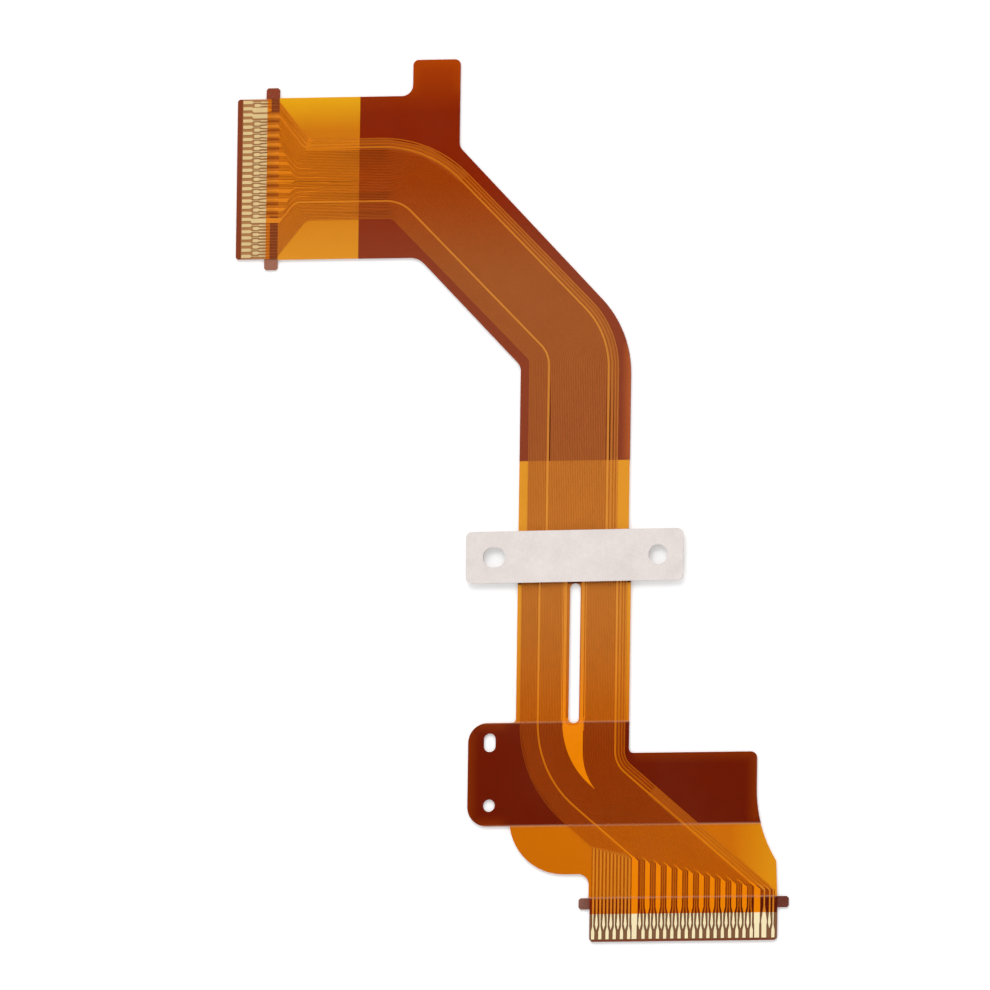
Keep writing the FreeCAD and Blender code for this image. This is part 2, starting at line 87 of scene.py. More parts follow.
# A patch is a place on the cable given by four corners, turning to the left all the way round.
# The lines run together in a bundle, and these patches follow it from end to end.
line_bundle = (
    ((-20.95, 20.05), (-19.95, 20.05), (-19.95, 32.64), (-20.95, 32.64)),
    ((-19.95, 20.05), (-17.55, 22.95), (-17.45, 29.55), (-19.95, 32.64)),
    ((-17.60, 22.95), (-10.37, 22.95), (-11.35, 29.55), (-17.50, 29.55)),
    ((-10.37, 22.95), (-4.03, 26.51), (-7.38, 28.76), (-11.35, 29.55)),
    ((-10.40, 22.96), (1.27, 11.31), (6.48, 16.01), (-4.03, 26.51)),
    ((1.27, 11.31), (8.76, 10.49), (8.17, 13.48), (6.48, 16.01)),
    ((1.27, -2.93), (8.76, -2.93), (8.76, 10.49), (1.27, 11.31)),
    ((0.88, -6.53), (9.68, -6.53), (8.76, -2.93), (1.27, -2.93)),
    ((0.88, -18.19), (9.68, -18.19), (9.68, -6.53), (0.88, -6.53)),
    ((0.88, -18.19), (1.84, -22.53), (9.68, -21.10), (9.68, -18.19)),
    ((1.84, -22.53), (4.54, -26.07), (12.30, -23.32), (9.68, -21.10)),
    ((4.54, -26.07), (7.13, -28.27), (22.27, -31.78), (12.30, -23.32)),
    ((7.05, -33.65), (22.34, -33.65), (22.30, -31.78), (7.05, -28.27)),
)

# The strip of the bundle where its outermost lines run, in the arm and in the lower fan.
outer_strip = (
    ((-17.75, 28.62), (-11.35, 28.62), (-11.35, 29.55), (-17.50, 29.55)),
    ((-11.35, 28.62), (-7.75, 27.86), (-7.38, 28.76), (-11.35, 29.55)),
    ((-7.75, 27.86), (-4.72, 25.84), (-4.03, 26.51), (-7.38, 28.76)),
    ((11.66, -24.02), (20.95, -31.85), (22.27, -31.78), (12.30, -23.32)),
)

# Left and right sides of the painted shadows in the gaps beside the lines that stand out in the
# backed run.
strong_shadow_gaps = ((3.00, 3.13), (8.00, 8.13))
faint_shadow_gaps = ((7.70, 7.83), (8.30, 8.43))

# Where the lines widen into bright bars: the lower end, the left end and its middle fingers.
lower_bars = (((5.9, -36.5), (23.4, -36.5), (23.4, -31.9), (5.9, -27.9)),)
left_bars = (
    ((-21.2, 22.3), (-19.75, 22.3), (-19.75, 31.4), (-21.2, 31.4)),
    ((-19.8, 23.6), (-15.6, 25.9), (-15.6, 26.2), (-19.8, 28.6)),
)
bar_level = -31.9  # a line that is wide here ends in a bar above its lower contact

# Beside the slot, and the narrow film round its lower end.
slot_sides = (((3.2, -17.9), (7.4, -17.9), (7.4, -6.4), (3.2, -6.4)),)
slot_end = ((4.45, -18.75), (6.25, -18.75), (6.25, -17.7), (4.45, -17.7))

# The wide bars over the left plate: a bar's bright upper side, the step from one bar to the next,
# and the lowest and highest places of the shading between them.
bar_crest, bar_step = 30.69, 0.75
shaded_low, shaded_high = 23.3, 31.8

# The comb of bars above the lower contacts, its first lines, the left side of the dark part of
# the lower plate, and a painted shadow along the tape's lower edge.
plate_top = lower_plate_high.y
comb = ((7.05, plate_top), (22.34, plate_top), (22.30, -31.78), (7.05, -28.27))
low_group = ((7.05, plate_top), (10.4, plate_top), (10.4, -28.9), (7.05, -28.27))
dark_corner_left = 17.7
tape_shadow_strip = ((-1.0, -6.88), (12.0, -6.80), (12.0, -6.5), (-1.0, -6.5))

# The right side of the backed run, where light comes through its edge.
run_side = ((8.8, upper_backing_low.y), (10.5, upper_backing_low.y), (10.5, 12.5), (8.8, 12.5))

# Where the film's tone drifts up the cable or across it, from the first place to the second.
# Up the upper tab the backed film drifts into a painted glow of light let through the film.
top_edge_rise, tab_rise = (30.2, 33.1), (31.5, 36.0)
right_edge_reach, run_edge_reach = (18.5, 22.0), (9.0, 9.68)

# Lines that stand out in the bundle, the outermost ones, and the two beside the slot.
lone_lines = ("conductor_12_13", "conductor_46_47")
outer_lines = ("conductor_48_49", "conductor_50", "conductor_51")
slot_lines = ("conductor_27", "conductor_28")


# --------------------------------------------------------------------------- settings


def colour(name, description, red, green, blue):
    """A colour setting, with its default in screen values."""
    return FloatVectorProperty(
        name=name,
        description=description,
        subtype="COLOR",
        size=3,
        min=0.0,
        max=1.0,
        default=paint(red, green, blue),
    )


def fraction(name, description, default, top=1.0):
    """A number setting, from zero to a highest value."""
    return FloatProperty(name=name, description=description, default=default, min=0.0, max=top)


def length(name, description, default):
    """A length setting in metres."""
    return FloatProperty(
        name=name, description=description, default=default, min=0.0, unit="LENGTH", precision=6
    )


class FlexFilmSettings(bpy.types.PropertyGroup):
    """Colours of the base film, at the upper end, half way down and at the lower end; the paler,
    greyer middle colours are partly the film's own tone and partly painted sheen of reflected
    light.
    """

    amber_upper: colour("Amber, upper", "Clear film near the left connector", 206, 118, 12)
    amber_middle: colour("Amber, middle", "Clear film beside the tape", 226, 150, 42)
    amber_lower: colour("Amber, lower", "Clear film near the lower connector", 206, 109, 0)
    amber_top: colour("Amber, top edge", "Clear film along the arm's upper edge", 234, 170, 20)
    amber_right: colour("Amber, right edge", "Clear film right of the lower fan", 224, 144, 12)
    backed_upper: colour("Backed, upper", "Film over the upper backing's tab", 132, 31, 0)
    backed_middle: colour("Backed, middle", "Film over the upper backing's run", 138, 61, 36)
    backed_lower: colour("Backed, lower", "Film over the lower backing", 105, 20, 0)
    # Painted glow of light let through the film at the upper tab's end.
    backed_top_glow: colour("Backed, top edge", "Film at the upper tab's end", 168, 60, 0)
    edge_glow: colour("Edge glow", "Light let through along the backed film's edges", 190, 84, 0)
    glow_strength: fraction("Edge glow strength", "How much of the edge glow is seen", 0.2)
    # Painted shade: the clear film between the lines is darker than the open film.
    gap_upper: colour("Line gap, upper", "Clear film between lines, arm", 199, 108, 10)
    gap_middle: colour("Line gap, middle", "Clear film between lines, run", 193, 113, 37)
    gap_lower: colour("Line gap, lower", "Clear film between lines, lower end", 190, 90, 0)
    backed_gap_upper: colour("Backed gap, upper", "Backed film between lines, arm", 160, 61, 0)
    backed_gap_middle: colour("Backed gap, middle", "Backed film between lines, run", 164, 88, 38)
    backed_gap_lower: colour("Backed gap, lower", "Backed film between lines, low", 145, 50, 0)
    outer_gap: colour("Outer gap", "Clear film between the arm's outermost lines", 226, 130, 12)
    low_outer_gap: colour("Low outer gap", "The same, in the lower fan", 198, 105, 8)
    backed_outer_gap: colour("Backed outer gap", "The same, over the upper backing", 176, 84, 20)
    # Painted shadows in the gaps beside the raised lines that stand out in the backed run.
    strong_gap_shadow: colour("Deep gap", "Backed film right of a line that stands out", 98, 36, 14)
    faint_gap_shadow: colour("Shallow gap", "Backed film beside the outer lines", 136, 66, 28)
    run_edge: colour("Run edge", "Light let through along the run's right edge", 174, 86, 42)
    comb_gap: colour("Comb gap", "Film between the lower bars", 152, 62, 2)
    low_group_gap: colour("Low group gap", "Film between the first lower lines", 172, 84, 2)
    plate_gap: colour("Plate gap", "Covered film over the lower plate", 120, 30, 2)
    dark_corner: colour("Dark corner", "Film over the lower plate's right part", 88, 16, 2)
    # Painted shadow: a dark line on the film under the tape's lower edge.
    tape_shadow: colour("Tape line", "Dark line of dust along the tape's lower edge", 92, 32, 14)
    slot_end: colour("Slot end", "Narrow film round the slot's lower end", 228, 124, 2)
    left_backed: colour("Left plate gap", "Covered film over the left plate", 131, 62, 28)
    bar_light: colour("Bar light", "Bright upper side of a bar over the left plate", 230, 136, 36)
    bar_shade: colour("Bar shade", "Shade under a bar over the left plate", 158, 72, 10)
    left_strip: colour("Left strip", "Covered film just behind the left contacts", 196, 98, 12)
    left_bare: colour("Left contact bed", "Film between the left contacts", 176, 124, 76)
    left_lip: colour("Left lip", "Film beyond the left contacts", 132, 61, 34)
    lower_bare: colour("Lower contact bed", "Film between the lower contacts", 130, 90, 62)
    lower_lip: colour("Lower lip", "Film beyond and beside the lower contacts", 126, 64, 38)
    mottle: fraction("Mottle", "Cloudy change of tone in the film", 0.07)
    roughness: fraction("Roughness", "Roughness of the film", 0.42)


class FlexCopperSettings(bpy.types.PropertyGroup):
    """Colours of the copper lines and of their plated ends; the paler, greyer middle colours of the
    lines are partly painted sheen of reflected light.
    """

    broad_upper: colour("Broad copper, upper", "Broad lines at the left end", 226, 126, 18)
    broad_middle: colour("Broad copper, middle", "Broad lines in the run", 224, 142, 52)
    broad_lower: colour("Broad copper, lower", "Broad lines at the lower end", 244, 135, 0)
    thin_upper: colour("Thin copper, upper", "Outer lines at the left end", 214, 118, 18)
    thin_middle: colour("Thin copper, middle", "Outer lines in the run", 214, 128, 40)
    thin_lower: colour("Thin copper, lower", "Outer and left lines at the lower end", 220, 130, 30)
    lone_upper: colour("Lone line, upper", "Lines that stand out in the arm", 218, 124, 24)
    lone_middle: colour("Lone line, middle", "The same, in the run", 224, 145, 56)
    lone_lower: colour("Lone line, lower", "The same, near the lower end", 222, 123, 8)
    outer_upper: colour("Outer line, upper", "Outermost lines of the arm", 218, 126, 24)
    outer_middle: colour("Outer line, middle", "The same, in the run", 214, 134, 48)
    outer_lower: colour("Outer line, lower", "The same, near the lower end", 208, 113, 6)
    fine_upper: colour("Fine copper, upper", "Fine lines in the arm", 204, 111, 12)
    fine_middle: colour("Fine copper, middle", "Fine lines in the run", 203, 122, 46)
    fine_lower: colour("Fine copper, lower", "Fine lines near the lower end", 196, 97, 0)
    backed_upper: colour("Backed copper, upper", "Fine lines over the upper backing", 169, 67, 2)
    backed_middle: colour("Backed copper, middle", "The same, in the run", 174, 95, 45)
    backed_lower: colour("Backed copper, lower", "Fine lines over the lower backing", 157, 62, 2)
    left_backed: colour("Left plate line", "Fine lines over the left plate", 148, 74, 34)
    left_plating: colour("Left plating", "Plated contacts of the left end", 226, 196, 140)
    lower_plating: colour("Lower plating", "Plated contacts of the lower end", 255, 238, 192)
    # Painted shadow round the bare contacts, laid on their sides.
    shadow_rim_upper: colour("Left contact rim", "Dark rim round the left contacts", 146, 96, 56)
    shadow_rim_lower: colour("Lower contact rim", "Dark rim round the lower contacts", 104, 64, 36)
    edge: length("Line edge", "Worn edge along each line", 0.000012)
    # Width of the chamfer that carries the painted shadow round each bare contact.
    contact_edge: length("Contact edge", "Dark rim round each bare contact", 0.000018)
    roughness: fraction("Roughness", "Roughness of the copper", 0.45)
    metal: fraction("Metal", "How far the copper mirrors its room", 0.12)


class FlexCoverSettings(bpy.types.PropertyGroup):
    """The clear film over the lines."""

    tint: colour("Tint", "Colour of the clear cover film", 176, 84, 6)
    # Painted sheen: a pale pink haze of reflected light, laid on the cover in clouds.
    cover_sheen: colour("Haze", "Colour of fine scuffs on the cover film", 210, 150, 100)
    # Painted highlight: a pale line where the cover bends over a step.
    step_highlight: colour("Step line", "Pale line where the film steps over a backing", 226, 168, 128)
    step_strength: fraction("Step strength", "How much of the step lines is seen", 0.2)
    # How much of the painted sheen is laid on.
    cover_strength: fraction("Strength", "How much of the tint is seen", 0.01)
    sheen_strength: fraction("Scuffs", "How much of the fine scuffs is seen", 0.006)
    roughness: fraction("Roughness", "Roughness of the cover film", 0.22)
    clearance: length("Clearance", "Hair of room under the cover film", 0.000004)


class FlexBackingSettings(bpy.types.PropertyGroup):
    """The dark films and plates under the cable."""

    backing: colour("Backing film", "Dark film under the cable", 120, 34, 8)
    plate_upper: colour("Stiffener, upper", "Left plate's upper ear", 137, 53, 22)
    # Partly painted sheen: the left plate's lower ear is paler and greyer from reflected light.
    plate_middle: colour("Stiffener, middle", "Left plate's lower ear", 153, 99, 78)
    plate_lower: colour("Stiffener, lower", "Plate under the lower end", 102, 40, 24)
    plate_worn: colour("Stiffener wear", "Paler rubbed spots of the plates", 176, 134, 116)
    roughness: fraction("Roughness", "Roughness of the backing", 0.5)


class FlexTapeSettings(bpy.types.PropertyGroup):
    """The tape across the run and its paper liner."""

    paper: colour("Paper", "Liner paper", 235, 226, 222)
    fibre: colour("Fibre", "Greyer fibres in the liner paper", 222, 212, 207)
    glue: colour("Adhesive", "Edge of the double-sided tape", 206, 196, 186)
    fibre_length: length("Fibre length", "Length of a paper fibre", 0.0009)
    roughness: fraction("Roughness", "Roughness of the liner paper", 0.78)


class FlexStudioSettings(bpy.types.PropertyGroup):
    """The table, the room, the lamp and the camera."""

    table: colour("Table", "Plain pale table", 252, 252, 252)
    table_size: length("Table size", "Side of the table", 6.0)
    room_low: fraction("Room, low", "Brightness of the room near the table", 1.25, 4.0)
    room_high: fraction("Room, overhead", "Brightness of the room overhead", 0.1, 4.0)
    lamp_power: FloatProperty(
        name="Lamp power", description="Power of the soft lamp", default=8.0, min=0.0, unit="POWER"
    )
    lamp_size: length("Lamp size", "Side of the soft lamp", 0.9)
    camera_distance: length("Camera distance", "From the cable to the camera", 3.224)


def settings():
    """The settings of the scene at hand."""
    return bpy.context.scene.flex_cable


class FlexCableSettings(bpy.types.PropertyGroup):
    """Everything that can be changed from the sidebar."""

    film: PointerProperty(type=FlexFilmSettings)
    copper: PointerProperty(type=FlexCopperSettings)
    cover: PointerProperty(type=FlexCoverSettings)
    backing: PointerProperty(type=FlexBackingSettings)
    tape: PointerProperty(type=FlexTapeSettings)
    studio: PointerProperty(type=FlexStudioSettings)


# --------------------------------------------------------------------------- node helpers


def put(tree, kind, inputs=None, **options):
    """Add a node, set its options, and set or wire its inputs."""
    made = tree.nodes.new(kind)
    for name, value in options.items():
        setattr(made, name, value)
    for key, value in (inputs or {}).items():
        wire(tree, value, made.inputs[key])
    down, across = divmod(len(tree.nodes), 12)
    made.location = (220 * across, -260 * down)
    return made


def wire(tree, value, socket):
    """Link a socket to an input, or set the input's value."""
    if isinstance(value, bpy.types.NodeSocket):
        tree.links.new(value, socket)
    elif socket.type == "RGBA" and len(value) == 3:
        socket.default_value = (*value, 1.0)
    else:
        socket.default_value = value


def reckon(tree, operation, *values, clamp=False):
    """The result of a math node on numbers."""
    made = put(tree, "ShaderNodeMath", dict(enumerate(values)), operation=operation)
    made.use_clamp = clamp
    return made.outputs[0]


def vector(tree, operation, *values):
    """The result of a math node on vectors."""
    made = put(tree, "ShaderNodeVectorMath", dict(enumerate(values)), operation=operation)
    return made.outputs["Value" if operation == "DOT_PRODUCT" else "Vector"]


def mixed(tree, factor, first, second):
    """Two colours mixed by a factor."""
    inputs = {0: factor, 6: first, 7: second}
    return put(tree, "ShaderNodeMix", inputs, data_type="RGBA").outputs[2]


def spread(tree, value, low, high, out_low=0.0, out_high=1.0, smooth=False):
    """A value carried from one range to another and held there."""
    ends = {"From Min": low, "From Max": high, "To Min": out_low, "To Max": out_high}
    kind = "SMOOTHSTEP" if smooth else "LINEAR"
    return put(
        tree, "ShaderNodeMapRange", {"Value": value, **ends}, interpolation_type=kind
    ).outputs[0]


def noise(tree, place, scale, detail, **more):
    """Values of a cloudy noise."""
    inputs = {"Vector": place, "Scale": scale, "Detail": detail, **more}
    return put(tree, "ShaderNodeTexNoise", inputs).outputs[0]


# What the groups take in first: a place on the cable in millimetres.
place_input = ("Place", "vector", (0.0, 0.0, 0.0))


def begin_group(name, inputs, outputs):
    """A new shader node group with its sockets: its tree, what comes in and what goes out."""
    tree = bpy.data.node_groups.new(name, "ShaderNodeTree")
    kinds = {"number": "NodeSocketFloat", "vector": "NodeSocketVector", "colour": "NodeSocketColor"}
    for label, kind, default in inputs:
        socket = tree.interface.new_socket(label, in_out="INPUT", socket_type=kinds[kind])
        socket.default_value = default
    for label, kind in outputs:
        tree.interface.new_socket(label, in_out="OUTPUT", socket_type=kinds[kind])
    start, end = tree.nodes.new("NodeGroupInput"), tree.nodes.new("NodeGroupOutput")
    start.location, end.location = (-300, 0), (2900, 0)
    return tree, start.outputs, end.inputs


def group(tree, name, inputs=None):
    """Place a node group in a material, built when it is first asked for, and its outputs."""
    builders = {
        "Cable place": cable_place,
        "Four corner patch": four_corner_patch,
        "Three part tone": three_part_tone,
        "Rolled film": rolled_film,
        "Paper fibre": paper_fibre,
        "Drawn metal": drawn_metal,
    }
    if name not in bpy.data.node_groups:
        builders[name]()
    return put(tree, "ShaderNodeGroup", inputs, node_tree=bpy.data.node_groups[name]).outputs


# --------------------------------------------------------------------------- node groups


def cable_place():
    """Place on the cable in millimetres."""
    tree, _, end = begin_group("Cable place", (), (("Place", "vector"),))
    own = put(tree, "ShaderNodeTexCoord").outputs["Object"]
    thousand = (1 / millimetre,) * 3
    wire(tree, vector(tree, "MULTIPLY", own, thousand), end["Place"])


def four_corner_patch():
    """A mask inside four corners, and another along their rim."""
    corners = [(f"Corner {i}", "vector", (0.0, 0.0, 0.0)) for i in (1, 2, 3, 4)]
    tree, start, end = begin_group(
        "Four corner patch",
        (place_input, *corners, ("Softness", "number", 0.02), ("Rim width", "number", 0.08)),
        (("Mask", "number"), ("Rim", "number")),
    )
    flat = vector(tree, "MULTIPLY", start["Place"], (1.0, 1.0, 0.0))
    depth = None
    for i in range(4):
        here, there = start[f"Corner {i + 1}"], start[f"Corner {(i + 1) % 4 + 1}"]
        side = vector(tree, "NORMALIZE", vector(tree, "SUBTRACT", there, here))
        inward = vector(tree, "CROSS_PRODUCT", (0.0, 0.0, 1.0), side)
        reach = vector(tree, "DOT_PRODUCT", vector(tree, "SUBTRACT", flat, here), inward)
        depth = reach if depth is None else reckon(tree, "MINIMUM", depth, reach)
    edge = reckon(tree, "MULTIPLY", start["Softness"], -1.0)
    wire(tree, spread(tree, depth, edge, start["Softness"]), end["Mask"])
    nearness = reckon(tree, "DIVIDE", reckon(tree, "ABSOLUTE", depth), start["Rim width"])
    wire(tree, reckon(tree, "SUBTRACT", 1.0, nearness, clamp=True), end["Rim"])


def three_part_tone():
    """A colour that drifts from the lower end of the cable to the upper. The middle colours it is
    given are partly painted sheen of reflected light.
    """
    brown = (0.5, 0.2, 0.0, 1.0)
    tree, start, end = begin_group(
        "Three part tone",
        (place_input, ("Lower", "colour", brown), ("Middle", "colour", brown),
         ("Upper", "colour", brown),
         ("Lower place", "number", -21.0), ("Low middle", "number", -7.0),
         ("High middle", "number", 17.0), ("Upper place", "number", 27.0)),
        (("Colour", "colour"),),
    )
    along = put(tree, "ShaderNodeSeparateXYZ", {0: start["Place"]}).outputs[1]
    rise = spread(tree, along, start["Lower place"], start["Low middle"], smooth=True)
    climb = spread(tree, along, start["High middle"], start["Upper place"], smooth=True)
    below = mixed(tree, rise, start["Lower"], start["Middle"])
    wire(tree, mixed(tree, climb, below, start["Upper"]), end["Colour"])


def rolled_film():
    """Cloudy tone, fine grain and long faint waves of a rolled plastic film."""
    tree, start, end = begin_group(
        "Rolled film",
        (place_input, ("Cloud size", "number", 6.0), ("Amount", "number", 0.08)),
        (("Tone", "number"), ("Height", "number"), ("Fine", "number")),
    )
    cloud_scale = reckon(tree, "DIVIDE", 1.0, start["Cloud size"])
    cloud = noise(tree, start["Place"], cloud_scale, 3.0, Roughness=0.55)
    fine = noise(tree, start["Place"], 9.0, 2.0)
    stretched = vector(tree, "MULTIPLY", start["Place"], (0.10, 1.3, 1.0))
    wave = noise(tree, stretched, 0.8, 2.0)
    sum_cloud = reckon(tree, "MULTIPLY_ADD", fine, 0.35, reckon(tree, "MULTIPLY", cloud, 1.65))
    swing = reckon(tree, "SUBTRACT", sum_cloud, 1.0)
    wire(tree, reckon(tree, "MULTIPLY_ADD", swing, start["Amount"], 1.0), end["Tone"])
    wire(tree, reckon(tree, "MULTIPLY_ADD", fine, 0.2, wave), end["Height"])
    wire(tree, fine, end["Fine"])


def drawn_metal():
    """Faint grain and blotches of thin rolled copper and its plating."""
    tree, start, end = begin_group(
        "Drawn metal",
        (place_input, ("Grain size", "number", 0.4), ("Amount", "number", 0.1)),
        (("Tone", "number"), ("Height", "number")),
    )
    scale = reckon(tree, "DIVIDE", 1.0, start["Grain size"])
    grain = noise(tree, start["Place"], scale, 4.0, Roughness=0.6)
    blotch = noise(tree, start["Place"], 0.28, 1.0)
    swing = reckon(tree, "SUBTRACT", reckon(tree, "ADD", grain, blotch), 1.0)
    wire(tree, reckon(tree, "MULTIPLY_ADD", swing, start["Amount"], 1.0), end["Tone"])
    wire(tree, grain, end["Height"])


def paper_fibre():
    """Crossed fibres and soft mill clouds of liner paper."""
    tree, start, end = begin_group(
        "Paper fibre",
        (place_input, ("Fibre length", "number", 0.9)),
        (("Fibres", "number"), ("Height", "number")),
    )
    scale = reckon(tree, "DIVIDE", 1.0, start["Fibre length"])
    total = None
    for turn, squeeze in ((0.35, 5.0), (-0.8, 4.0), (1.4, 6.0)):
        turned = put(tree, "ShaderNodeVectorRotate", {"Vector": start["Place"], "Angle": turn},
                     rotation_type="Z_AXIS").outputs[0]
        drawn = vector(tree, "MULTIPLY", turned, (1.0, squeeze, 1.0))
        strand = noise(tree, drawn, scale, 2.0, Distortion=0.6)
        total = strand if total is None else reckon(tree, "ADD", total, strand)
    cloud = noise(tree, start["Place"], 0.45, 2.0)
    both = reckon(tree, "MULTIPLY_ADD", cloud, 0.8, reckon(tree, "MULTIPLY", total, 0.4))
    wire(tree, spread(tree, both, 0.72, 1.28), end["Fibres"])
    wire(tree, reckon(tree, "MULTIPLY", total, 0.333), end["Height"])


# --------------------------------------------------------------------------- materials


def begin_material(name):
    """A new material with its shader and an output."""
    made = bpy.data.materials.new(name)
    made.use_nodes = True
    tree = made.node_tree
    tree.nodes.clear()
    shader = tree.nodes.new("ShaderNodeBsdfPrincipled")
    shader.location = (2700, 0)
    output = tree.nodes.new("ShaderNodeOutputMaterial")
    output.location = (3000, 0)
    tree.links.new(shader.outputs[0], output.inputs["Surface"])
    return made, tree, shader


def set_shader(tree, shader, **values):
    """Set or wire the shader's inputs, named with underscores for spaces."""
    for name, value in values.items():
        wire(tree, value, shader.inputs[name.replace("_", " ")])


def bumped(tree, height, strength, distance=0.00001):
    """A normal raised by a height."""
    inputs = {"Height": height, "Strength": strength, "Distance": distance}
    return put(tree, "ShaderNodeBump", inputs).outputs[0]


def patch(tree, place, corners, softness=0.02, rim=0.08):
    """A four corner patch at given corners."""
    ends = {f"Corner {i + 1}": (x, y, 0.0) for i, (x, y) in enumerate(corners)}
    return group(
        tree, "Four corner patch", {"Place": place, "Softness": softness, "Rim width": rim, **ends}
    )


def upright(low_x, low_y, high_x, high_y):
    """The four corners of an upright rectangle."""
    return ((low_x, low_y), (high_x, low_y), (high_x, high_y), (low_x, high_y))


def joined(tree, masks, way="ADD"):
    """The union of several masks. Added up, soft masks that share a side leave no seam."""
    whole = masks[0]
    for mask in masks[1:]:
        whole = reckon(tree, way, whole, mask, clamp=True)
    return whole


def within(tree, place, patches, softness=0.02):
    """A mask of one or several patches."""
    return joined(tree, [patch(tree, place, c, softness)["Mask"] for c in patches])


def toned(tree, place, look, stem, drift=None):
    """A drift of one of a look's colours along the cable, between given places or the usual."""
    parts = ("Lower", "Middle", "Upper")
    ends = {part: getattr(look, f"{stem}_{part.lower()}") for part in parts}
    return group(tree, "Three part tone", {"Place": place, **ends, **(drift or {})})["Colour"]


def scaled(tree, colour_in, factor):
    """A colour made lighter or darker by a factor."""
    grey = put(tree, "ShaderNodeCombineXYZ", {0: factor, 1: factor, 2: factor}).outputs[0]
    return vector(tree, "MULTIPLY", colour_in, grey)


def backed_patches():
    """Where a backing film or a plate lies under the cable; the left plate comes last."""
    return (
        upright(upper_backing_low.x, upper_backing_low.y,
                upper_backing_high.x + margin, upper_backing_high.y + margin),
        upright(lower_backing_low.x - margin, lower_backing_low.y,
                lower_backing_high.x + margin, lower_backing_high.y),
        upright(lower_plate_low.x - margin, lower_plate_low.y - margin,
                lower_plate_high.x + margin, lower_plate_high.y),
        upright(left_plate_start, left_plate_low.y - margin,
                left_plate_high.x, left_plate_high.y + margin),
    )


def edge_glow(tree, place, across, along):
    """Where light comes through the backed film's free edges: the upper tab, the lower tab and
    the shoulder."""
    tab_left, tab_right, reach = -8.79, -4.85, 0.9
    lower_tab_left, shoulder_right, shoulder_top = -3.41, 20.67, -20.60
    tab_root, lower_tab_root, shoulder_root, fade = (32.6, 33.6), (0.2, -0.8), (10.0, 11.0), 0.5
    inside, far_below = 12.0, -50.0
    foot = lower_backing_low.y
    beyond = reckon(tree, "MULTIPLY", spread(tree, across, *shoulder_root),
                    spread(tree, along, foot, foot + fade))
    parts = (
        (upright(tab_left, 0.0, tab_right, film_high.y), spread(tree, along, *tab_root)),
        (upright(lower_tab_left, foot, inside, lower_backing_high.y),
         spread(tree, across, *lower_tab_root)),
        (upright(0.0, far_below, shoulder_right, shoulder_top), beyond),
    )
    return joined(tree, [
        reckon(tree, "MULTIPLY", patch(tree, place, corners, rim=reach)["Rim"], seen)
        for corners, seen in parts
    ])


def bar_shading(tree, place, across, along):
    """Soft light and shade over the left plate, where the cover film dips between the bars, and
    a mask of where it is seen."""
    look = settings().film
    left_lean, right_lean, strength = 0.93, 1.09, 0.9
    steps = reckon(tree, "DIVIDE", reckon(tree, "SUBTRACT", along, bar_crest), bar_step / 2)
    dip = reckon(tree, "PINGPONG", steps, 1.0)
    shade = mixed(tree, dip, look.bar_light, look.bar_shade)
    lean = spread(tree, across, left_plate_start, left_plate_high.x, left_lean, right_lean)
    area = upright(left_cover_edge, shaded_low, left_plate_high.x, shaded_high)
    mask = reckon(tree, "MULTIPLY", within(tree, place, [area], 0.05), strength)
    return mask, scaled(tree, shade, lean)


def open_film(tree, place, across, along, look, backed):
    """The film beside the lines: amber, or dark where it is backed."""
    amber = toned(tree, place, look, "amber")
    amber = mixed(tree, spread(tree, along, *top_edge_rise), amber, look.amber_top)
    amber = mixed(tree, spread(tree, across, *right_edge_reach), amber, look.amber_right)
    dark = toned(tree, place, look, "backed")
    # Painted glow of light let through the film towards the upper tab's end.
    dark = mixed(tree, spread(tree, along, *tab_rise), dark, look.backed_top_glow)
    glow = reckon(tree, "MULTIPLY", edge_glow(tree, place, across, along), look.glow_strength)
    dark = mixed(tree, glow, dark, look.edge_glow)
    run_edge = reckon(tree, "MULTIPLY", spread(tree, across, *run_edge_reach),
                      within(tree, place, [run_side], 0.3))
    dark = mixed(tree, run_edge, dark, look.run_edge)
    return mixed(tree, backed, amber, dark)


def film_between_lines(tree, place, along, look, backed):
    """The film between the lines of the bundle, and between the outermost ones. In the clear film
    the gap tones are darker than the open film, as painted shade between the lines.
    """
    fan_to_arm = (0.0, 20.0)
    gap = toned(tree, place, look, "gap")
    gap = mixed(tree, backed, gap, toned(tree, place, look, "backed_gap"))
    rise = spread(tree, along, *fan_to_arm)
    outer_gap = mixed(tree, rise, look.low_outer_gap, look.outer_gap)
    outer_gap = mixed(tree, backed, outer_gap, look.backed_outer_gap)
    return mixed(tree, within(tree, place, outer_strip, 0.06), gap, outer_gap)


def with_gap_shadows(tree, place, along, look, surface):
    """The film with painted shadows in the gaps beside the lines that stand out, fading towards the
    bend.
    """
    bend, fade_length = 10.4, 4.0
    fade = spread(tree, along, bend, bend - fade_length)
    for sides, tone in ((strong_shadow_gaps, look.strong_gap_shadow), (faint_shadow_gaps, look.faint_gap_shadow)):
        strips = [upright(left, upper_backing_low.y, right, bend) for left, right in sides]
        strip = reckon(tree, "MULTIPLY", within(tree, place, strips), fade)
        surface = mixed(tree, strip, surface, tone)
    return surface


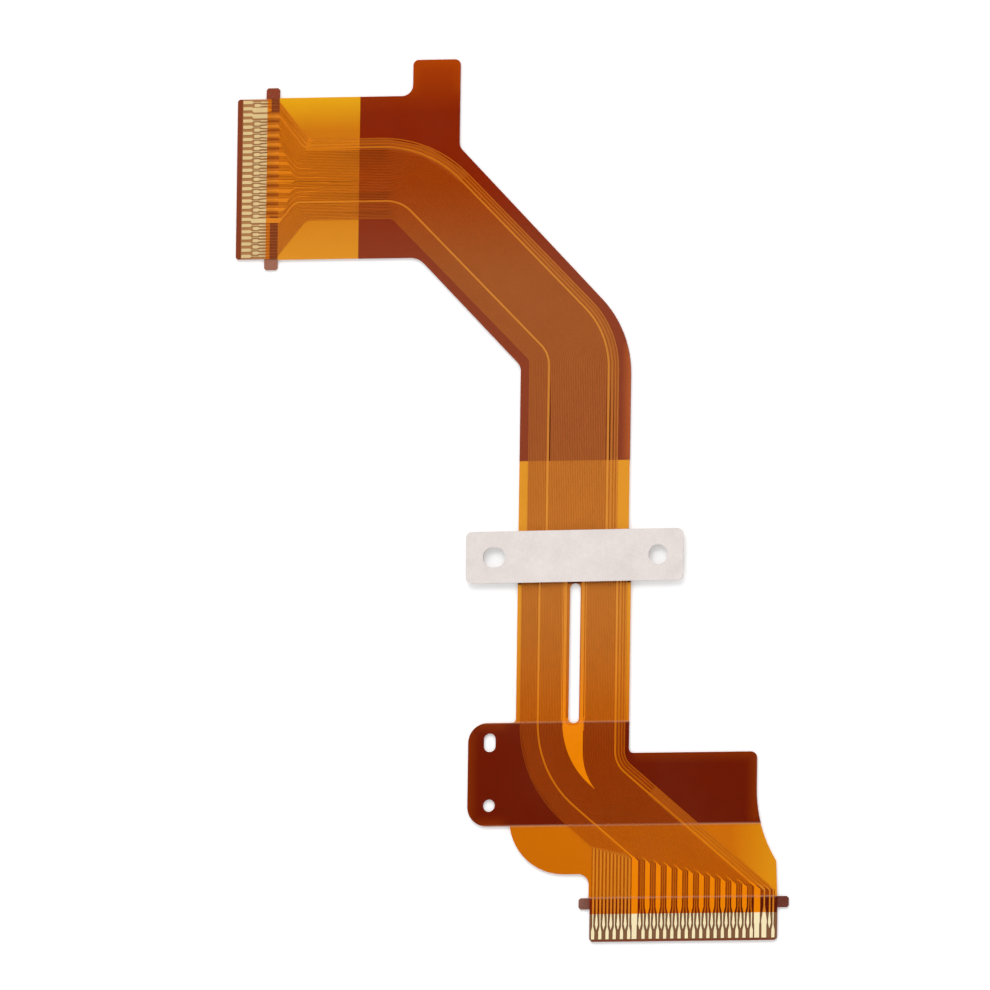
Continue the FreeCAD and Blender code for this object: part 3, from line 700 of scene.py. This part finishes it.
def with_zones(tree, place, look, surface):
    """The film with its own tones at the plates, the comb and the slot's end, and a painted shadow
    along the tape.
    """
    left_side, right_side = 5.0, film_high.x + margin
    zones = (
        (backed_patches()[-1], look.left_backed),
        (upright(left_cover_edge - margin, film_low.y, left_plate_start, film_high.y + margin),
         look.left_strip),
        (comb, look.comb_gap),
        (low_group, look.low_group_gap),
        (upright(left_side, lower_cover_edge, right_side, plate_top), look.plate_gap),
        (upright(dark_corner_left, lower_cover_edge, right_side, plate_top), look.dark_corner),
        (tape_shadow_strip, look.tape_shadow),
        (slot_end, look.slot_end),
    )
    for corners, tone in zones:
        surface = mixed(tree, within(tree, place, [corners]), surface, tone)
    return surface


def with_contact_beds(tree, place, across, along, look, surface):
    """The film with bare beds between the contacts, and the lips beyond and beside them."""
    left_lip = (film_low.x + 0.38, film_low.x + 0.5)
    lower_lip, side_lip = (film_low.y + 0.12, film_low.y + 0.2), (22.7, 22.78)
    left_bed = upright(film_low.x - margin, film_low.y, left_cover_edge, film_high.y + margin)
    lower_bed = upright(film_low.x, film_low.y - margin, film_high.x + margin, lower_cover_edge)
    lip = spread(tree, across, *left_lip, 1.0, 0.0)
    bed = mixed(tree, lip, look.left_bare, look.left_lip)
    surface = mixed(tree, within(tree, place, [left_bed]), surface, bed)
    below = spread(tree, along, *lower_lip, 1.0, 0.0)
    beside = spread(tree, across, *side_lip)
    bed = mixed(tree, joined(tree, (below, beside)), look.lower_bare, look.lower_lip)
    return mixed(tree, within(tree, place, [lower_bed]), surface, bed)


def base_film_material(look):
    """Amber film, darker where backed and between the lines, brown between bare contacts."""
    made, tree, shader = begin_material("Amber base film")
    place = group(tree, "Cable place")["Place"]
    across, along, _ = put(tree, "ShaderNodeSeparateXYZ", {0: place}).outputs
    backed = within(tree, place, backed_patches())
    # Between the lines the film takes its gap tones; in the clear film these are darker, as painted
    # shade.
    bundle = within(tree, place, line_bundle, 0.04)
    surface = mixed(
        tree, bundle,
        open_film(tree, place, across, along, look, backed),
        film_between_lines(tree, place, along, look, backed),
    )
    surface = with_gap_shadows(tree, place, along, look, surface)
    surface = with_zones(tree, place, look, surface)
    shaded, shade = bar_shading(tree, place, across, along)
    surface = mixed(tree, shaded, surface, shade)
    surface = with_contact_beds(tree, place, across, along, look, surface)
    roll = group(tree, "Rolled film", {"Place": place, "Amount": look.mottle})
    set_shader(
        tree, shader,
        Base_Color=scaled(tree, surface, roll["Tone"]),
        Roughness=look.roughness,
        Specular_IOR_Level=0.04,
        Coat_Weight=0.15,
        Coat_Roughness=0.15,
        Normal=bumped(tree, roll["Height"], 0.15),
    )
    return made


def copper_material(look, name, stem, bars=(), bar_stem="broad"):
    """Orange copper under the cover film, brighter at its bars, and pale gold plating beyond."""
    made, tree, shader = begin_material(name)
    place = group(tree, "Cable place")["Place"]
    across, along, _ = put(tree, "ShaderNodeSeparateXYZ", {0: place}).outputs
    grain = group(tree, "Drawn metal", {"Place": place, "Amount": 0.12})
    copper = toned(tree, place, look, stem)
    if stem != "broad":
        upper_backing, lower_backing, _, left_plate = backed_patches()
        share = {"fine": 1.0, "outer": 0.7, "lone": 0.35}[stem]
        backed = within(tree, place, (upper_backing, lower_backing))
        backed = reckon(tree, "MULTIPLY", backed, share)
        copper = mixed(tree, backed, copper, toned(tree, place, look, "backed"))
        copper = mixed(tree, within(tree, place, [left_plate]), copper, look.left_backed)
    if bars:
        wide = within(tree, place, bars, 0.1)
        copper = mixed(tree, wide, copper, toned(tree, place, look, bar_stem))
    shaded, shade = bar_shading(tree, place, across, along)
    surface = scaled(tree, mixed(tree, shaded, copper, shade), grain["Tone"])
    fuzz = 0.02
    cover_edges = (
        (across, left_cover_edge, look.left_plating),
        (along, lower_cover_edge, look.lower_plating),
    )
    for way, edge, plating in cover_edges:
        bare = spread(tree, way, edge - fuzz, edge + fuzz, 1.0, 0.0)
        surface = mixed(tree, bare, surface, scaled(tree, plating, grain["Tone"]))
    set_shader(
        tree, shader,
        Base_Color=surface,
        Metallic=look.metal,
        Roughness=look.roughness,
        Specular_IOR_Level=0.05,
        Normal=bumped(tree, grain["Height"], 0.12),
    )
    return made


def contact_shadow_material(look):
    """Painted shadow on the sides of each bare contact, where its plating meets the film."""
    made, tree, shader = begin_material("Contact shadow rim")
    place = group(tree, "Cable place")["Place"]
    grain = group(tree, "Drawn metal", {"Place": place, "Amount": 0.2})
    along = put(tree, "ShaderNodeSeparateXYZ", {0: place}).outputs[1]
    upper_end = spread(tree, along, -10.0, 10.0)
    tone = mixed(tree, upper_end, look.shadow_rim_lower, look.shadow_rim_upper)
    set_shader(
        tree, shader,
        Base_Color=scaled(tree, tone, grain["Tone"]),
        Roughness=0.5,
        Specular_IOR_Level=0.3,
        Normal=bumped(tree, grain["Height"], 0.1),
    )
    return made


def cover_material(look):
    """A thin clear amber film with a soft gloss, and a painted sheen of reflected light laid on in
    soft clouds.
    """
    made, tree, shader = begin_material("Clear cover film")
    place = group(tree, "Cable place")["Place"]
    roll = group(tree, "Rolled film", {"Place": place, "Cloud size": 11.0, "Amount": 1.0})
    sheen_range, step_width, step_fade = (0.95, 1.35), 0.13, 0.3
    # Painted sheen of reflected light in soft clouds, which raises the cover's tint and strength.
    sheen_clouds = spread(tree, roll["Tone"], *sheen_range)
    strength = reckon(tree, "MULTIPLY_ADD", sheen_clouds, look.sheen_strength, look.cover_strength)
    # Painted highlight along the steps where the cover bends over the lower backing and the lower
    # plate.
    _, lower_backing, lower_plate, _ = backed_patches()
    backs = (lower_backing, lower_plate)
    rims = [patch(tree, place, corners, rim=step_width)["Rim"] for corners in backs]
    step = joined(tree, rims, "MAXIMUM")
    strength = reckon(tree, "MULTIPLY_ADD", step, look.step_strength, strength)
    film = mixed(tree, sheen_clouds, look.tint, look.cover_sheen)
    set_shader(
        tree, shader,
        Base_Color=mixed(tree, spread(tree, step, 0.0, step_fade), film, look.step_highlight),
        Alpha=strength,
        Roughness=look.roughness,
        Specular_IOR_Level=0.2,
        Normal=bumped(tree, roll["Height"], 0.2),
    )
    return made


def backing_material(look, name, is_plate):
    """Dark matt film or plate with paler rubbed spots."""
    made, tree, shader = begin_material(name)
    place = group(tree, "Cable place")["Place"]
    roll = group(tree, "Rolled film", {"Place": place, "Cloud size": 2.4, "Amount": 0.2})
    wear, ear, ear_wear = 0.22, (lower_plate_low.x + 1.3, lower_plate_low.x), 1.6
    rubbed = spread(tree, roll["Fine"], 0.5, 0.75)
    ground = look.backing
    if is_plate:
        # The plates drift from tone to tone; the paler, greyer left plate's lower ear is partly
        # painted sheen.
        ground = toned(tree, place, look, "plate", {
            "Lower place": -20.0, "Low middle": 10.0, "High middle": 20.0, "Upper place": 32.0
        })
        across, along, _ = put(tree, "ShaderNodeSeparateXYZ", {0: place}).outputs
        left_ear = spread(tree, across, *ear, 0.0, ear_wear)
        left_ear = reckon(tree, "MULTIPLY", left_ear, spread(tree, along, 0.0, -1.0))
        rubbed = reckon(tree, "ADD", rubbed, left_ear)
    surface = mixed(tree, reckon(tree, "MULTIPLY", rubbed, wear), ground, look.plate_worn)
    set_shader(
        tree, shader,
        Base_Color=scaled(tree, surface, roll["Tone"]),
        Roughness=look.roughness,
        Specular_IOR_Level=0.3,
        Normal=bumped(tree, roll["Height"], 0.25),
    )
    return made


def paper_material(look):
    """Pale coated liner paper with faint fibres."""
    made, tree, shader = begin_material("Liner paper")
    place = group(tree, "Cable place")["Place"]
    fibre_length = look.fibre_length / millimetre
    fibre = group(tree, "Paper fibre", {"Place": place, "Fibre length": fibre_length})
    set_shader(
        tree, shader,
        Base_Color=mixed(tree, fibre["Fibres"], look.fibre, look.paper),
        Roughness=look.roughness,
        Specular_IOR_Level=0.3,
        Normal=bumped(tree, fibre["Height"], 0.3),
    )
    return made


def glue_material(look):
    """Milky edge of the double-sided tape."""
    made, tree, shader = begin_material("Tape adhesive")
    place = group(tree, "Cable place")["Place"]
    roll = group(tree, "Rolled film", {"Place": place, "Cloud size": 1.2, "Amount": 0.15})
    set_shader(
        tree, shader,
        Base_Color=scaled(tree, look.glue, roll["Tone"]),
        Roughness=0.5,
        Specular_IOR_Level=0.3,
        Normal=bumped(tree, roll["Height"], 0.3),
    )
    return made


def dress(node, material):
    """Give a node's every slot one material."""
    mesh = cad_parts[node].data
    if not mesh.materials:
        mesh.materials.append(material)
    for index in range(len(mesh.materials)):
        mesh.materials[index] = material


# --------------------------------------------------------------------------- pieces


def add_object(name, data):
    """A new object in the scene."""
    made = bpy.data.objects.new(name, data)
    bpy.context.scene.collection.objects.link(made)
    return made


def mesh_from(shape, name):
    """A mesh made from a bmesh, which is freed."""
    mesh = bpy.data.meshes.new(name)
    shape.to_mesh(mesh)
    shape.free()
    return mesh


def upper_face(node):
    """A node's shape in bmesh with its doubled corners joined, and the faces of its top."""
    same_place, same_level = 1e-8, 1e-7
    shape = bmesh.new()
    shape.from_mesh(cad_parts[node].data)
    bmesh.ops.remove_doubles(shape, verts=shape.verts, dist=same_place)
    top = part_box(node)[1].z - same_level
    upper = [f for f in shape.faces if all(corner.co.z > top for corner in f.verts)]
    return shape, upper


def outline_of(node):
    """The corners of a line's top in order, in millimetres, turning left."""
    shape, upper = upper_face(node)
    steps = {}
    for face in upper:
        for loop in face.loops:
            steps[(loop.vert.index, loop.link_loop_next.vert.index)] = loop.vert.co.xy
    follows = {a: b for a, b in steps if (b, a) not in steps}
    places = {a: place / millimetre for (a, b), place in steps.items() if follows.get(a) == b}
    first = min(follows)
    order, here = [first], follows[first]
    while here != first:
        order.append(here)
        here = follows[here]
    shape.free()
    points = [places[i].copy() for i in order]
    return points if spanned(points) > 0 else points[::-1]


def spanned(points):
    """Area inside an outline, above zero where it turns left."""
    pairs = zip(points, points[1:] + points[:1])
    return sum(a.x * b.y - a.y * b.x for a, b in pairs) / 2


def is_barred(node):
    """Whether a fine line widens into a bar above its lower contact."""
    least_width = 0.2
    shape, upper = upper_face(node)
    across = []
    for face in upper:
        for side in face.edges:
            a, b = (corner.co / millimetre for corner in side.verts)
            if (a.y - bar_level) * (b.y - bar_level) < 0:
                across.append(a.lerp(b, (bar_level - a.y) / (b.y - a.y)).x)
    shape.free()
    return max(across) - min(across) > least_width


def finish_of(node):
    """Which copper finish a line takes."""
    low_group_end = 12
    if node == "slot_guard":
        return "guard"
    if node in lone_lines:
        return "lone"
    if node in outer_lines:
        return "outer"
    if node in slot_lines:
        return "slot_bar" if is_barred(node) else "slot"
    if int(node[-2:]) < low_group_end:
        return "low"
    return "bar" if is_barred(node) else "fine"


def without_straight_corners(points):
    """The outline without corners that lie on a straight run."""
    least_turn = math.radians(0.15)
    kept = []
    for i, here in enumerate(points):
        before, after = here - points[i - 1], points[(i + 1) % len(points)] - here
        if abs(before.angle_signed(after, 0.0)) > least_turn:
            kept.append(here)
    return kept


def on_curve(here, pull, there, push, t):
    """A place on the smooth curve between two places, each with its own heading."""
    return (
        here * (2 * t**3 - 3 * t**2 + 1) + pull * (t**3 - 2 * t**2 + t)
        + there * (3 * t**2 - 2 * t**3) + push * (t**3 - t**2)
    )


def drawn_bends(points):
    """The outline with the short chords of its bends drawn out as arcs."""
    least_turn, most_turn, longest_chord = math.radians(0.8), math.radians(50), 4.2
    right_of, above = left_plate_high.x + 0.1, -28.2
    parts, fullness = 6, 1.02
    count = len(points)
    ways = [points[(i + 1) % count] - points[i] for i in range(count)]
    turns = [ways[i - 1].angle_signed(ways[i], 0.0) for i in range(count)]

    def bends(i):
        free = points[i].x > right_of and points[i].y > above
        return free and least_turn < abs(turns[i]) < most_turn

    chord = []
    for i in range(count):
        j = (i + 1) % count
        same = turns[i] * turns[j] > 0
        chord.append(bends(i) and bends(j) and same and ways[i].length < longest_chord)

    def heading(i):
        before, after = ways[i - 1], ways[i]
        if chord[i - 1] and chord[i]:
            share = before.normalized() * after.length + after.normalized() * before.length
            return share.normalized()
        return (before if chord[i] else after).normalized()

    drawn = []
    for i in range(count):
        drawn.append(points[i])
        if not chord[i]:
            continue
        j = (i + 1) % count
        reach = ways[i].length * fullness
        pull, push = heading(i) * reach, heading(j) * reach
        for step in range(1, parts):
            drawn.append(on_curve(points[i], pull, points[j], push, step / parts))
    return drawn


def is_bare(point):
    """Whether a place in millimetres is beyond the cover film, among the bare contacts."""
    return point.x < left_cover_edge or point.y < lower_cover_edge


def parted_at_cover_edge(points):
    """The outline with a pair of corners where it passes out from under the cover film."""
    half_gap, first, last = 0.01, 0.001, 0.999
    parted = []
    for i, here in enumerate(points):
        there = points[(i + 1) % len(points)]
        parted.append(here)
        for axis, level in ((0, left_cover_edge), (1, lower_cover_edge)):
            if (here[axis] - level) * (there[axis] - level) < 0:
                share = (level - here[axis]) / (there[axis] - here[axis])
                hair = half_gap / (there - here).length
                parted.append(here.lerp(there, max(share - hair, first)))
                parted.append(here.lerp(there, min(share + hair, last)))
    return parted


def drawn_in(points, edge, contact_edge):
    """The outline moved inward, further at the bare contacts, and not too far at sharp corners."""
    sharpest = 0.5
    moved = []
    for i, here in enumerate(points):
        before = (here - points[i - 1]).normalized()
        after = (points[(i + 1) % len(points)] - here).normalized()
        inward = Vector((-before.y - after.y, before.x + after.x))
        depth = contact_edge if is_bare(here) else edge
        moved.append(here + inward * (depth / max(1 + before.dot(after), sharpest)))
    return moved


def copper_strip(node, name, look, material, rim):
    """A copper line with smooth bends and worn edges, in the place of its node."""
    edge, contact_edge = look.edge / millimetre, look.contact_edge / millimetre
    edge_fall = edge * 0.6
    outline = drawn_bends(without_straight_corners(outline_of(node)))
    outline = parted_at_cover_edge(outline)
    low, high = (end.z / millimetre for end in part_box(node))
    inner = drawn_in(outline, edge, contact_edge)
    rings = ((outline, low), (outline, high - edge_fall), (inner, high))
    count = len(outline)
    shape = bmesh.new()
    rows = [
        [shape.verts.new(Vector((p.x, p.y, z)) * millimetre) for p in ring] for ring, z in rings
    ]
    for lower, upper in zip(rows, rows[1:]):
        for i in range(count):
            j = (i + 1) % count
            face = shape.faces.new((lower[i], lower[j], upper[j], upper[i]))
            # The sides of a bare contact take the painted shadow; all other faces take the copper.
            face.material_index = int(is_bare(outline[i]) and is_bare(outline[j]))
    for a, b, c in tessellate_polygon([[p.to_3d() for p in outline]]):
        a, b, c = (a, b, c) if spanned([outline[i] for i in (a, b, c)]) > 0 else (c, b, a)
        shape.faces.new((rows[0][c], rows[0][b], rows[0][a]))
        shape.faces.new((rows[-1][a], rows[-1][b], rows[-1][c]))
    mesh = mesh_from(shape, name)
    mesh.materials.append(material)
    mesh.materials.append(rim)
    piece = add_object(name, mesh)
    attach(piece, "root")
    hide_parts(node)


def put_in_order(parts, place):
    """Sort a shape's parts by their places, the same way in every run."""
    ranks = {part: rank for rank, part in enumerate(sorted(parts, key=place))}
    parts.sort(key=ranks.get)


def clear_sheet(node, name, clearance):
    """A sheet with a film's outline and openings, with a flat underside a hair above the film's
    lowest level.
    """
    shape, upper = upper_face(node)
    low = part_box(node)[0].z + clearance
    other = [f for f in shape.faces if f not in upper]
    bmesh.ops.delete(shape, geom=other, context="FACES")
    under = bmesh.ops.extrude_face_region(shape, geom=shape.faces[:])
    for corner in under["geom"]:
        if isinstance(corner, bmesh.types.BMVert):
            corner.co.z = low
    bmesh.ops.recalc_face_normals(shape, faces=shape.faces)
    put_in_order(shape.edges, lambda edge: tuple(edge.verts[0].co + edge.verts[1].co))
    put_in_order(shape.faces, lambda face: tuple(face.calc_center_median()))
    return add_object(name, mesh_from(shape, name))


class FLEX_OT_base_film(bpy.types.Operator):
    """Finish the amber base film"""

    bl_idname = "flex.base_film"
    bl_label = "Base Film"

    def execute(self, context):
        dress("base_film", base_film_material(settings().film))
        return {"FINISHED"}


class FLEX_OT_copper_lines(bpy.types.Operator):
    """Finish the copper lines and their plated contacts"""

    bl_idname = "flex.copper_lines"
    bl_label = "Copper Lines"

    def execute(self, context):
        look = settings().copper
        # The dark rim material is painted shadow round the bare contacts.
        rim = contact_shadow_material(look)
        all_bars = (*left_bars, *lower_bars)
        finishes = {
            "fine": copper_material(look, "Fine copper", "fine"),
            "bar": copper_material(look, "Barred copper", "fine", all_bars),
            "low": copper_material(look, "Low group copper", "fine", lower_bars, "thin"),
            "lone": copper_material(look, "Lone copper", "lone", all_bars),
            "outer": copper_material(look, "Outer copper", "outer", lower_bars, "thin"),
            "slot": copper_material(look, "Slot copper", "fine", slot_sides),
            "slot_bar": copper_material(look, "Slot bar copper", "fine", all_bars + slot_sides),
            "guard": copper_material(look, "Guard copper", "broad"),
        }
        for node in sorted(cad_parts):
            if node == "slot_guard" or node.startswith("conductor"):
                name = node.replace("conductor", "line") + "_drawn"
                copper_strip(node, name, look, finishes[finish_of(node)], rim)
        return {"FINISHED"}


class FLEX_OT_cover_film(bpy.types.Operator):
    """Lay the clear cover film over the lines"""

    bl_idname = "flex.cover_film"
    bl_label = "Cover Film"

    def execute(self, context):
        look = settings().cover
        sheet = clear_sheet("cover_film", "clear_cover", look.clearance)
        sheet.data.materials.append(cover_material(look))
        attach(sheet, "root")
        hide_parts("cover_film")
        return {"FINISHED"}


class FLEX_OT_backing(bpy.types.Operator):
    """Finish the dark backing films and the end stiffeners"""

    bl_idname = "flex.backing"
    bl_label = "Backing and Stiffeners"

    def execute(self, context):
        look = settings().backing
        film = backing_material(look, "Dark backing film", False)
        plate = backing_material(look, "End stiffener", True)
        dress("upper_backing_film", film)
        dress("lower_backing_film", film)
        dress("left_end_stiffener", plate)
        dress("lower_end_stiffener", plate)
        return {"FINISHED"}


class FLEX_OT_tape(bpy.types.Operator):
    """Finish the tape across the run and its paper liner"""

    bl_idname = "flex.tape"
    bl_label = "Tape and Liner"

    def execute(self, context):
        look = settings().tape
        dress("mounting_tape", glue_material(look))
        dress("release_liner", paper_material(look))
        return {"FINISHED"}


class FLEX_OT_studio(bpy.types.Operator):
    """Set the table, the lamp, the room and the camera"""

    bl_idname = "flex.studio"
    bl_label = "Table, Light and Camera"

    def execute(self, context):
        look = settings().studio
        lay_table(look)
        light_room(look)
        hang_lamp(look)
        set_camera(look)
        bpy.context.scene.view_settings.view_transform = "Standard"
        return {"FINISHED"}


# --------------------------------------------------------------------------- studio


def lay_table(look):
    """A plain pale table, a hair under the cable so that no two faces share a plane. The camera
    sees it a little brighter than the light that it gives back."""
    half, hair, lift = look.table_size / 2, 0.00002, 0.2
    mesh = bpy.data.meshes.new("table")
    corners = [(x * half, y * half, -hair) for x, y in ((-1, -1), (1, -1), (1, 1), (-1, 1))]
    mesh.from_pydata(corners, [], [(0, 1, 2, 3)])
    table = add_object("table", mesh)
    made, tree, shader = begin_material("Pale table")
    grain = put(tree, "ShaderNodeTexNoise", {"Scale": 60.0, "Detail": 2.0}).outputs[0]
    path = put(tree, "ShaderNodeLightPath").outputs
    seen = reckon(tree, "ADD", path["Is Camera Ray"], path["Is Glossy Ray"], clamp=True)
    seen = reckon(tree, "ADD", seen, path["Is Transmission Ray"], clamp=True)
    set_shader(
        tree, shader,
        Base_Color=scaled(tree, look.table, spread(tree, grain, 0.0, 1.0, 0.985, 1.0)),
        Roughness=0.7,
        Specular_IOR_Level=0.1,
        Emission_Color=(1.0, 1.0, 1.0),
        Emission_Strength=reckon(tree, "MULTIPLY", seen, lift),
    )
    mesh.materials.append(made)


def light_room(look):
    """A soft room, bright round the table and dim overhead."""
    world = bpy.data.worlds.new("Studio room")
    bpy.context.scene.world = world
    world.use_nodes = True
    tree = world.node_tree
    tree.nodes.clear()
    way = put(tree, "ShaderNodeTexCoord").outputs["Generated"]
    rise = put(tree, "ShaderNodeSeparateXYZ", {0: way}).outputs[2]
    wall_top, ceiling = 0.62, 0.86
    level = spread(tree, rise, wall_top, ceiling, look.room_low, look.room_high, smooth=True)
    room = put(tree, "ShaderNodeBackground", {"Color": (1.0, 1.0, 1.0), "Strength": level})
    output = put(tree, "ShaderNodeOutputWorld")
    tree.links.new(room.outputs[0], output.inputs[0])


def hang_lamp(look):
    """One soft lamp beyond the upper end."""
    data = bpy.data.lights.new("soft_lamp", "AREA")
    data.shape, data.size, data.energy = "SQUARE", look.lamp_size, look.lamp_power
    lamp = add_object("soft_lamp", data)
    lamp.location = (-0.15, 0.95, 0.75)
    lamp.rotation_mode = "QUATERNION"
    lamp.rotation_quaternion = Vector(-lamp.location).to_track_quat("-Z", "Y")


def set_camera(look):
    """A long lens, a little to the right of and below the middle, looking down."""
    picture_side, lens_in_pixels = 990, 40000
    data = bpy.data.cameras.new("camera")
    data.sensor_width = 36.0
    data.lens = 36.0 * lens_in_pixels / picture_side
    data.clip_start, data.clip_end = 0.05, 20.0
    camera = add_object("camera", data)
    back = Vector((0.2625, -0.1039, 0.9593)).normalized()
    right = Vector((0.96482, 0.01393, -0.2625))
    right = (right - back * right.dot(back)).normalized()
    up = back.cross(right)
    aim = Vector((-1.50, 0.4375, 0.0)) * millimetre
    turn = Matrix((right, up, back)).transposed().to_4x4()
    camera.matrix_world = Matrix.Translation(aim + back * look.camera_distance) @ turn
    bpy.context.scene.camera = camera


# --------------------------------------------------------------------------- add-on


class FLEX_PT_cable(bpy.types.Panel):
    """The cable's steps and settings in the sidebar"""

    bl_label = "Flex Cable"
    bl_idname = "FLEX_PT_cable"
    bl_space_type = "VIEW_3D"
    bl_region_type = "UI"
    bl_category = "Flex Cable"

    def draw(self, context):
        for step in steps_in_order:
            self.layout.operator(step.bl_idname)
        for name in FlexCableSettings.__annotations__:
            part = getattr(settings(), name)
            box = self.layout.box()
            box.label(text=name.capitalize())
            for key in type(part).__annotations__:
                box.prop(part, key)


steps_in_order = (
    FLEX_OT_base_film,
    FLEX_OT_copper_lines,
    FLEX_OT_cover_film,
    FLEX_OT_backing,
    FLEX_OT_tape,
    FLEX_OT_studio,
)

classes = (
    FlexFilmSettings,
    FlexCopperSettings,
    FlexCoverSettings,
    FlexBackingSettings,
    FlexTapeSettings,
    FlexStudioSettings,
    FlexCableSettings,
    *steps_in_order,
    FLEX_PT_cable,
)


def register():
    for part in classes:
        bpy.utils.register_class(part)
    bpy.types.Scene.flex_cable = PointerProperty(type=FlexCableSettings)


def unregister():
    del bpy.types.Scene.flex_cable
    for part in reversed(classes):
        bpy.utils.unregister_class(part)


def main():
    """Register the add-on and build every piece in order."""
    register()
    bpy.ops.flex.base_film()
    bpy.ops.flex.copper_lines()
    bpy.ops.flex.cover_film()
    bpy.ops.flex.backing()
    bpy.ops.flex.tape()
    bpy.ops.flex.studio()


if __name__ == "__main__":
    main()
